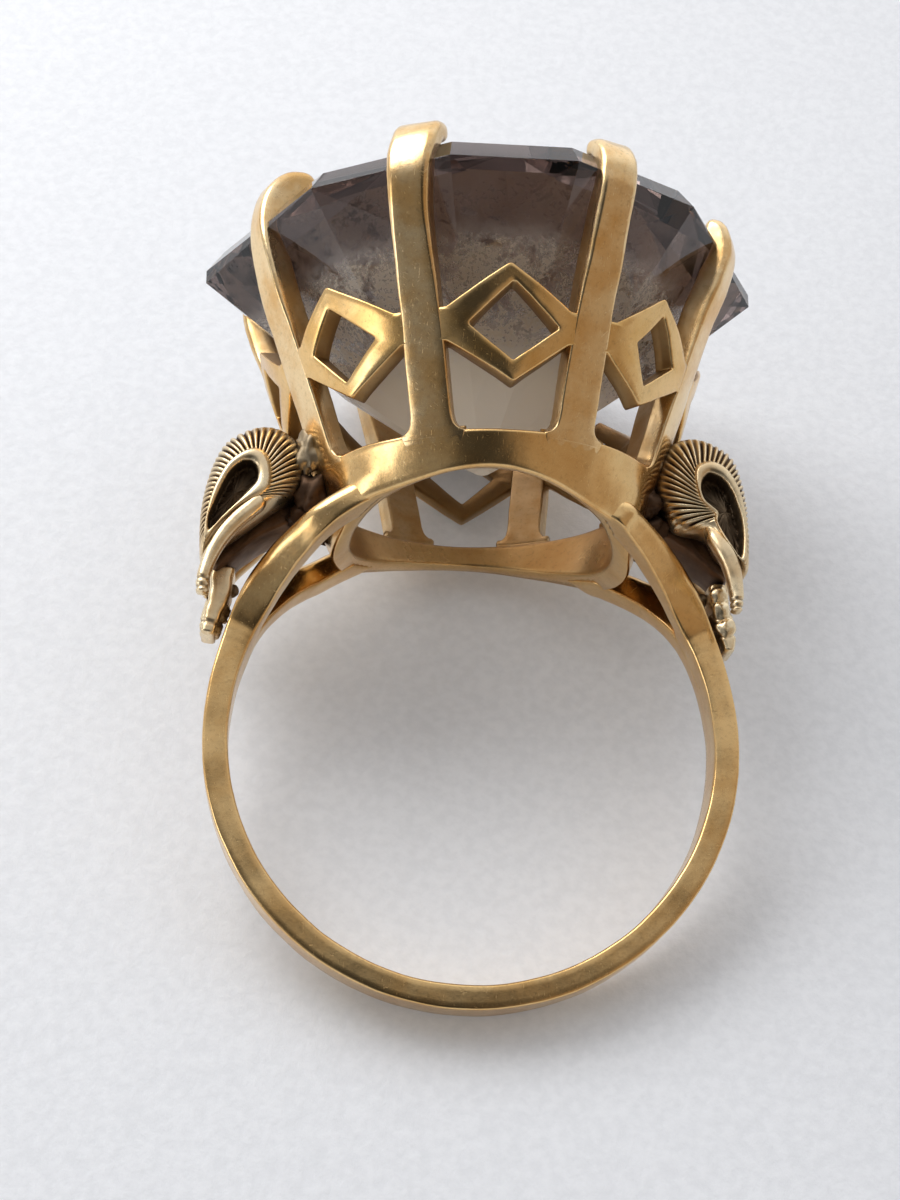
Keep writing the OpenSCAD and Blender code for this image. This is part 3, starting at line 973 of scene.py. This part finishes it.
def stem(shape, side, face):
    """Plain stem from the leaf's curl down to the foot, notched twice near its end."""
    curve = open_curve(LEFT_STEM if side < 0 else RIGHT_STEM, 10)
    centres, sides, widths, depths, dark = [], [], [], [], []
    for i, (x, z, full_width, back) in enumerate(curve):
        t = i / (len(curve) - 1)
        dx, dz = heading(curve, i)
        notch = 0.10 * sum(math.exp(-((t - at) / 0.012) ** 2) for at in (0.86, 0.93))
        width = (full_width - notch) * closing((t - 0.95) / 0.05)
        centres.append(Vector((side * x, face * (SCROLL_FAR - 0.30 - back), z)))
        sides.append(Vector((side * -dz, 0, dx)))
        widths.append(width)
        depths.append(0.62 * width / max(0.3, full_width) + 0.05)
        # The notches are darker: soiling with painted shade
        dark.append(min(0.7, notch * 6))
    outs = [Vector((0, face, 0))] * len(curve)
    bar(shape, centres, sides, outs, widths, depths, [0.24] * len(curve), dark)


def scroll(side, face, name):
    """Curled leaf with its stem, and the solder that holds it to the collet."""
    shape = Shape()
    leaf(shape, side, face)
    stem(shape, side, face)
    x, z, radius_x, radius_z = SCROLL_SOLDER[side]
    # The solder lump between the scroll and the collet is darkened as painted shade
    shape.lump(Vector((x, face * 2.15, z)), (radius_x, 0.45, radius_z), 0.24, 0.62)
    shape.piece(name + "_leaf", gold_engraved, [name])


# Outline of a backplate in the side plane, and its section: share of the outline's reach, and y
BACKPLATE = [
    (8.85, 6.30), (9.30, 6.20), (9.38, 7.20), (9.00, 8.60), (8.10, 9.45),
    (6.60, 9.50), (5.60, 9.40), (5.35, 8.75), (6.35, 7.95), (7.75, 7.25),
]
BACKPLATE_SECTION = [
    (0.35, -1.12), (0.7, -1.14), (0.93, -1.12), (1.0, -0.98), (1.02, -0.5), (1.03, 0),
    (1.02, 0.5), (1.0, 0.98), (0.93, 1.12), (0.7, 1.14), (0.35, 1.12),
]


def backplate(side, name):
    """Plate between the two scrolls, darkened as painted shade, with balls of old solder beside the collet.
    """
    loop = closed_curve(BACKPLATE, 10)
    middle_x, middle_z = (sum(values) / len(loop) for values in zip(*loop))
    rings = []
    for x, z in loop:
        ring = []
        for f, y in BACKPLATE_SECTION:
            p = Vector((side * between(middle_x, x, f), y, between(middle_z, z, f)))
            ring.append(worn(p + noise.noise_vector(p * 1.9) * 0.07, 0.03))
        rings.append(ring)
    shape = Shape()
    shape.wrap(rings)
    for face in (-1, 1):
        x = side * 6.0 + 0.35 * HEAD_X
        shape.lump(Vector((x, face * 1.75, 8.75)), (0.62, 0.62, 0.75), 0.26, 0.35)
        shape.lump(Vector((x + side * 0.35, face * 1.35, 7.95)), (0.55, 0.45, 0.42), 0.28, 0.5)
    shape.piece(name + "_body", gold_oxidised, [name])


# Stations of the tails: (x, z, width)
LEFT_TAIL = [
    (8.94, 6.35, 0.80), (8.97, 5.85, 0.82), (9.05, 5.30, 0.76), (9.18, 4.80, 0.64), (9.34, 4.30, 0.56),
    (9.44, 3.75, 0.48),
]
RIGHT_TAIL = [
    (8.98, 6.10, 0.50), (9.00, 5.55, 0.64), (9.12, 4.95, 0.66), (9.24, 4.45, 0.56), (9.33, 3.95, 0.50),
    (9.30, 3.45, 0.38),
]
# Balls of metal on both faces of the right tail: (x, z)
RIGHT_TAIL_LUMPS = [(9.00, 5.60), (9.10, 4.98), (9.24, 4.35)]
# Solder round a tail: x, z, radii, unevenness and recess; the recess paints tucked-in solder darker as
# painted shade
TAIL_SOLDER = [
    (9.02, 4.72, (0.34, 0.62, 0.36), 0.16, 0.0),
    (9.20, 4.15, (0.26, 0.55, 0.30), 0.12, 0.0),
    (8.62, 5.60, (0.26, 0.40, 0.24), 0.08, 0.75),
]


def tail(side, name):
    """Notched bar that holds the ornament to the hoop, with solder round it; the right one is lumpy."""
    curve = open_curve(LEFT_TAIL if side < 0 else RIGHT_TAIL, 12)
    grooves, breadth = ((0.84,), 0.018) if side < 0 else ((0.44, 0.71), 0.05)
    unevenness = 0.0 if side < 0 else 0.26
    centres, sides, widths, depths, dark = [], [], [], [], []
    for i, (x, z, width) in enumerate(curve):
        t = i / (len(curve) - 1)
        dx, dz = heading(curve, i)
        notch = sum(math.exp(-((t - at) / breadth) ** 2) for at in grooves)
        close = closing((0.07 - t) / 0.07) * closing((t - 0.94) / 0.06)
        wobble = 0.05 * noise.noise(Vector((side * x, 0, z)) * 2.3)
        lumpy = unevenness * noise.noise(Vector((x, 7, z)) * 2.9)
        centres.append(Vector((side * (x + wobble), 0, z)))
        sides.append(Vector((side * -dz, 0, dx)))
        widths.append((width + lumpy - 0.08 * notch) * close)
        depths.append((1.5 - 0.12 * notch) * (0.5 + 0.5 * close))
        # The notches are darker: soiling with painted shade
        dark.append(min(0.55, 0.5 * notch))
    shape = Shape()
    outs = [Vector((0, 1, 0))] * len(curve)
    bar(shape, centres, sides, outs, widths, depths, [0.16] * len(curve), dark)
    for x, z in RIGHT_TAIL_LUMPS if side > 0 else ():
        for face in (-1, 1):
            shape.lump(Vector((side * x, face * 0.68, z)), (0.35, 0.20, 0.42), 0.07)
    for x, z, radii, rough, recess in TAIL_SOLDER:
        shape.lump(Vector((side * x, 0, z)), radii, rough, recess)
    shape.piece(name + "_bar", gold_engraved, [name])


# ---------------------------------------------------------------- floor, light and camera
# Directions in the floor's plane, how far it reaches, and how far it lies behind the hoop's foot
RIGHT = Vector((1, 0, 0))
FLOOR_UP = Vector((0, 0.3015, 0.9535))
FLOOR_HALF = 160.0
FLOOR_GAP = 0.02


def floor_material():
    """Pale matt surface, clear when seen from below."""
    n = material_nodes("floor_cloth")
    weave = n.noise(2.4, 4, 0.6)
    tone = n.mix(n.ramp(weave, 0.3, 0.7), (0.74, 0.76, 0.80), (0.80, 0.82, 0.86))
    matt = n.add(
        "ShaderNodeBsdfPrincipled", Base_Color=tone, Roughness=0.9, Specular_IOR_Level=0.1,
        Emission_Color=(0.94, 0.98, 1.0, 1), Emission_Strength=0.09, Normal=n.bump(weave, 0.3, 0.1),
    )
    clear = n.nodes.new("ShaderNodeBsdfTransparent")
    facing = n.nodes.new("ShaderNodeNewGeometry")
    choose = n.nodes.new("ShaderNodeMixShader")
    sockets = facing.outputs["Backfacing"], matt.outputs[0], clear.outputs[0]
    for socket, place in zip(sockets, choose.inputs):
        n.links.new(socket, place)
    n.show(choose)
    return n.owner


def floor():
    """Flat surface that the ring leans back on; it touches the hoop's foot and the stone's edge."""
    normal = RIGHT.cross(FLOOR_UP)
    foot = Vector((0, HOOP_W / 2, -HOOP_R)) - normal * FLOOR_GAP
    places = (-1, -1), (1, -1), (1, 1), (-1, 1)
    corners = [foot + (RIGHT * a + FLOOR_UP * b) * FLOOR_HALF for a, b in places]
    mesh = bpy.data.meshes.new("floor")
    mesh.from_pydata([corner * MM for corner in corners], [], [(0, 1, 2, 3)])
    mesh.materials.append(floor_material())
    obj = bpy.data.objects.new("floor", mesh)
    bpy.context.scene.collection.objects.link(obj)


def world():
    """Pale surroundings with a bright strip to the left, darker behind the camera."""
    sky = bpy.data.worlds.new("studio")
    bpy.context.scene.world = sky
    n = Nodes(sky, "Generated")
    x, y, z = n.along("X"), n.along("Y"), n.along("Z")

    strip = n.math("ADD", n.ramp(x, -0.80, -0.87, 0.0, 2.8), n.ramp(x, -0.93, -0.98, 0.0, -2.2))
    strip = n.math("MULTIPLY", strip, n.ramp(z, -0.45, -0.32))
    strip = n.math("MULTIPLY", strip, n.ramp(z, -0.06, 0.10, 1.0, 0.0))

    shade = n.math("MULTIPLY", n.ramp(y, -0.08, -0.48), n.ramp(z, 0.4, -0.05))
    shaded = n.math("ADD", n.ramp(x, -0.20, -0.52, 0.04, 0.24), n.ramp(x, 0.08, 0.42, 0.0, 0.36))
    strength = n.math("ADD", n.ramp(shade, 0.0, 1.0, 0.66, 0.0), n.math("MULTIPLY", shade, shaded))
    strength = n.math("ADD", strength, strip)
    strength = n.math("ADD", strength, n.ramp(z, 0.45, 0.85, 0.0, 0.5))

    warm = n.math("MULTIPLY", shade, n.ramp(x, 0.0, 0.4))
    tint = n.mix(warm, (0.96, 0.97, 1.0), (1.0, 0.80, 0.60))
    n.show(n.add("ShaderNodeBackground", Color=tint, Strength=strength), "ShaderNodeOutputWorld")


def camera():
    """View from in front and below, turned a little; returns its directions and what it looks at."""
    yaw, pitch, roll = math.radians(4.75), math.radians(18.07), math.radians(-0.25)
    target = Vector((-0.73, 0, 5.42))
    distance, lens = 80.0, 66.117
    ahead = Vector((math.sin(yaw) * math.cos(pitch), math.cos(yaw) * math.cos(pitch), math.sin(pitch)))
    level = Vector((math.cos(yaw), -math.sin(yaw), 0))
    upright = level.cross(ahead)
    right = level * math.cos(roll) + upright * math.sin(roll)
    up = upright * math.cos(roll) - level * math.sin(roll)
    data = bpy.data.cameras.new("camera")
    data.lens = lens
    data.sensor_width = 36
    data.clip_start = 0.001
    data.clip_end = 10
    obj = bpy.data.objects.new("camera", data)
    place = (target - ahead * distance) * MM
    obj.matrix_world = Matrix.Translation(place) @ Matrix((right, up, -ahead)).transposed().to_4x4()
    bpy.context.scene.collection.objects.link(obj)
    bpy.context.scene.camera = obj
    return right, up, ahead, target


def window(right, up, ahead, target):
    """Round soft light above the camera, to its left and behind it."""
    to_left, upwards, behind, size = 65, 110, 40, 110
    place = target - right * to_left + up * upwards - ahead * behind
    data = bpy.data.lights.new("window", "AREA")
    data.shape = "DISK"
    data.size = size * MM
    data.energy = 0.11
    data.color = (1.0, 0.98, 0.95)
    obj = bpy.data.objects.new("window", data)
    obj.location = place * MM
    obj.rotation_mode = "QUATERNION"
    obj.rotation_quaternion = (target - place).to_track_quat("-Z", "Y")
    bpy.context.scene.collection.objects.link(obj)


# ---------------------------------------------------------------- the ring
hoop()
collet()
for side, side_name in ((-1, "left"), (1, "right")):
    for face, face_name in ((-1, "front"), (1, "back")):
        arm(side, face, f"arm_{side_name}_{face_name}")
        scroll(side, face, f"scroll_{side_name}_{face_name}")
    backplate(side, f"backplate_{side_name}")
    tail(side, f"tail_{side_name}")
for number in range(1, CLAW_COUNT + 1):
    claw(number)
    lozenge(number)
stone()

floor()
world()
window(*camera())
bpy.context.scene.view_settings.view_transform = "Standard"
